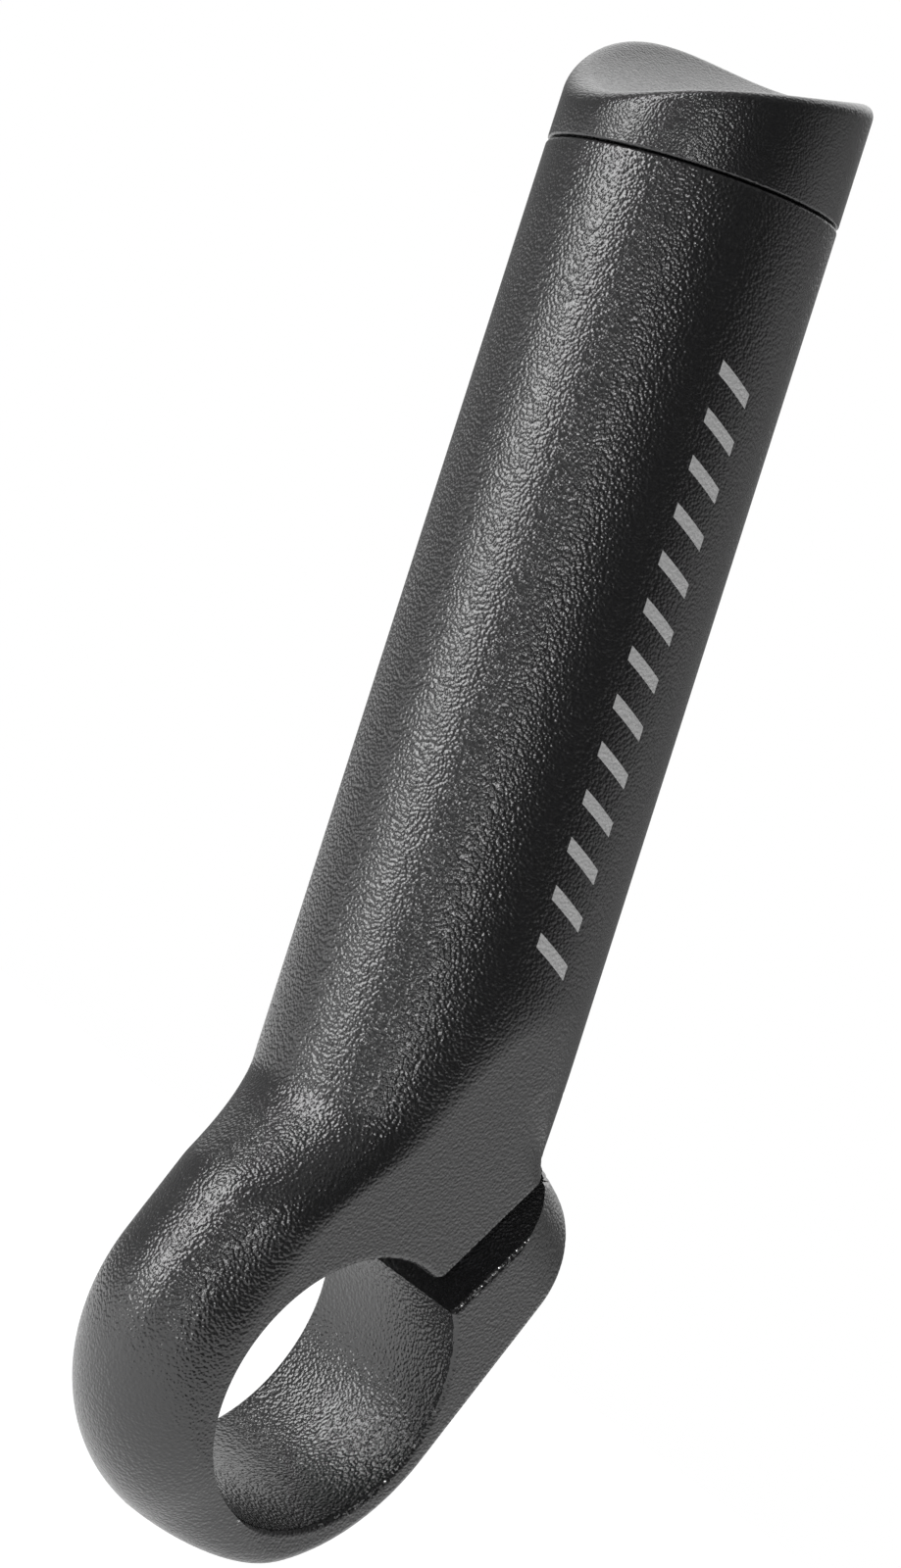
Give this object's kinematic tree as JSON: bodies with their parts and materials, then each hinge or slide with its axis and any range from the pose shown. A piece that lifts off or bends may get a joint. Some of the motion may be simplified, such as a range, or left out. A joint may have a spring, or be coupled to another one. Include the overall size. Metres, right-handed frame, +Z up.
{
  "type": "bicycle bar end",
  "caption": "Forged bar end for a flat handlebar: a round arm leaning from a slotted clamp with a cross bolt, closed by a scooped plug.",
  "frame": {"origin": "centre of the handlebar bore, at the middle of the clamp's width", "axes": "+X along the bore, away from the grip; +Z up through the clamp towards the arm, which leans to -X; +Y towards the slot, the jaw and the bolt's head"},
  "size_m": [0.04, 0.0384, 0.1137],
  "materials": {
    "forging": "blasted and anodised black",
    "plug": "fine grained moulding",
    "fastener": "plated"
  },
  "bodies": {
    "forging": {"body": "forging", "end_cap": "plug"},
    "washer": {"washer": "fastener"},
    "bolt": {"clamp_bolt": "fastener"}
  },
  "joints": [
    {"name": "washer_slide", "type": "slide", "parent": "forging", "child": "washer", "axis": [0, 0.8983, -0.4395], "range_m": [0, 0.0016]},
    {"name": "bolt_turn", "type": "hinge", "parent": "washer", "child": "bolt", "pos_m": [0, 0.00749, 0.01532], "axis": [0, 0.8983, -0.4395], "range_deg": [0, 720]}
  ],
  "couplings": [
    {"joint": "bolt_turn", "follows": "washer_slide", "rad_per_m": 7854}
  ]
}
